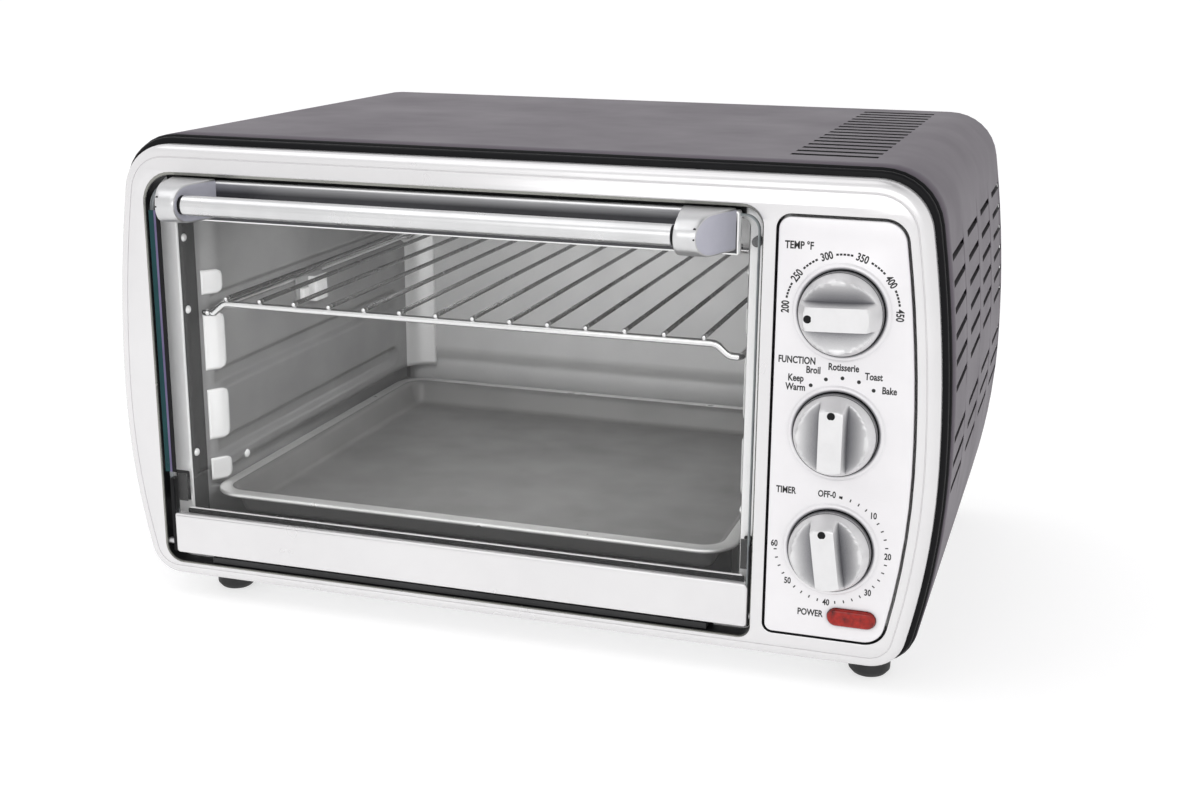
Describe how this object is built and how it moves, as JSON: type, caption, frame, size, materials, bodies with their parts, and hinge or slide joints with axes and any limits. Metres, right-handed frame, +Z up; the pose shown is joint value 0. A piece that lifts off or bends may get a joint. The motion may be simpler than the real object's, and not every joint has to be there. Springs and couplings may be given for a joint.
{
  "type": "countertop oven",
  "caption": "Countertop reflow or toaster oven: barrel-sided grey cover, silver front, drop-down glass door with bar handle, wire rack, pan and three dials.",
  "frame": {"origin": "on the surface the feet stand on, under the middle of the overall box, which runs from the door handle to the rear spacers", "axes": "+X to the right as seen from the front, +Y to the back, +Z up; the door faces -Y"},
  "size_m": [0.466, 0.353, 0.2665],
  "materials": {
    "cover_paint": "satin grey paint",
    "silver_moulding": "satin silver finish",
    "black_moulding": "black",
    "cavity_steel": "aluminised sheet",
    "zinc_steel": "zinc-plated sheet",
    "brushed_trim": "brushed",
    "door_pane": "clear tempered",
    "chrome_wire": "polished",
    "pan_steel": "grey non-stick coating",
    "tray_steel": "dark coating",
    "heater_sheath": "oxidised",
    "ceramic": "unglazed ceramic",
    "rubber": "black",
    "knob_silver": "satin silver",
    "control_plastic": "cream",
    "lamp_red": "red lens",
    "wire_sleeve": "glass-fibre sleeve",
    "copper": "copper",
    "motor_case": "plain"
  },
  "bodies": {
    "oven_body": {"back_panel": "zinc_steel", "base_plate": "zinc_steel", "bezel_gasket": "rubber", "case_screws": "zinc_steel", "cavity_back": "cavity_steel", "cavity_floor": "cavity_steel", "cavity_side_left": "cavity_steel", "cavity_side_right": "cavity_steel", "cavity_top": "cavity_steel", "control_panel": "silver_moulding", "cord_gland": "black_moulding", "door_bumpers": "rubber", "feet": "rubber", "foot_screws": "zinc_steel", "front_bezel": "silver_moulding", "front_frame": "zinc_steel", "function_switch": "control_plastic", "heat_shield": "zinc_steel", "heater_insulators": "ceramic", "indicator_lamp": "lamp_red", "indicator_lens": "lamp_red", "internal_wiring": "wire_sleeve", "jamb_rivets": "zinc_steel", "jamb_strips": "zinc_steel", "lower_heaters": "heater_sheath", "outer_cover": "cover_paint", "rear_spacers": "black_moulding", "rotisserie_motor": "motor_case", "spit_bracket": "zinc_steel", "terminal_block": "black_moulding", "thermostat": "control_plastic", "thermostat_bulb": "copper", "timer_bell": "chrome_wire", "timer_mechanism": "control_plastic", "tray_guides": "cavity_steel", "upper_heaters": "heater_sheath"},
    "door": {"door_glass": "door_pane", "door_lower_panel": "brushed_trim", "hinge_pins": "zinc_steel", "hinge_cheeks": "black_moulding", "link_arms": "zinc_steel", "arm_pads": "zinc_steel", "door_top_rail": "brushed_trim", "handle_bar": "brushed_trim", "handle_cap_left": "brushed_trim", "handle_cap_right": "brushed_trim", "handle_screws": "zinc_steel"},
    "temperature_dial": {"temperature_knob": "knob_silver", "temperature_shaft": "zinc_steel"},
    "function_dial": {"function_knob": "knob_silver", "function_shaft": "zinc_steel"},
    "timer_dial": {"timer_knob": "knob_silver", "timer_shaft": "zinc_steel"},
    "rack": {"wire_rack": "chrome_wire"},
    "pan": {"bake_pan": "pan_steel"},
    "tray": {"crumb_tray": "tray_steel"},
    "rotisserie_drive": {"spit_drive": "chrome_wire"}
  },
  "joints": [
    {"name": "door_hinge", "type": "hinge", "parent": "oven_body", "child": "door", "pos_m": [0, -0.1375, 0.0335], "axis": [1, 0, 0], "range_deg": [0, 86]},
    {"name": "rack_slide", "type": "slide", "parent": "oven_body", "child": "rack", "axis": [0, -1, 0], "range_m": [0, 0.121]},
    {"name": "pan_slide", "type": "slide", "parent": "oven_body", "child": "pan", "axis": [0, -1, 0], "range_m": [0, 0.031]},
    {"name": "crumb_tray_slide", "type": "slide", "parent": "oven_body", "child": "tray", "axis": [0, -1, 0], "range_m": [0, 0.15]},
    {"name": "temperature_turn", "type": "hinge", "parent": "oven_body", "child": "temperature_dial", "pos_m": [0.1785, -0.1415, 0.1978], "axis": [0, 1, 0], "range_deg": [0, 190]},
    {"name": "function_turn", "type": "hinge", "parent": "oven_body", "child": "function_dial", "pos_m": [0.1785, -0.1415, 0.1373], "axis": [0, 1, 0], "range_deg": [-34, 34]},
    {"name": "timer_turn", "type": "hinge", "parent": "oven_body", "child": "timer_dial", "pos_m": [0.1785, -0.1415, 0.0768], "axis": [0, 1, 0], "range_deg": [0, 290]},
    {"name": "rotisserie_turn", "type": "hinge", "parent": "oven_body", "child": "rotisserie_drive", "pos_m": [0.112, -0.0005, 0.1565], "axis": [1, 0, 0], "continuous": true}
  ],
  "couplings": [
    {"joint": "rack_slide", "follows": "door_hinge", "m_per_rad": 0.08},
    {"joint": "pan_slide", "follows": "door_hinge", "m_per_rad": 0.02}
  ]
}
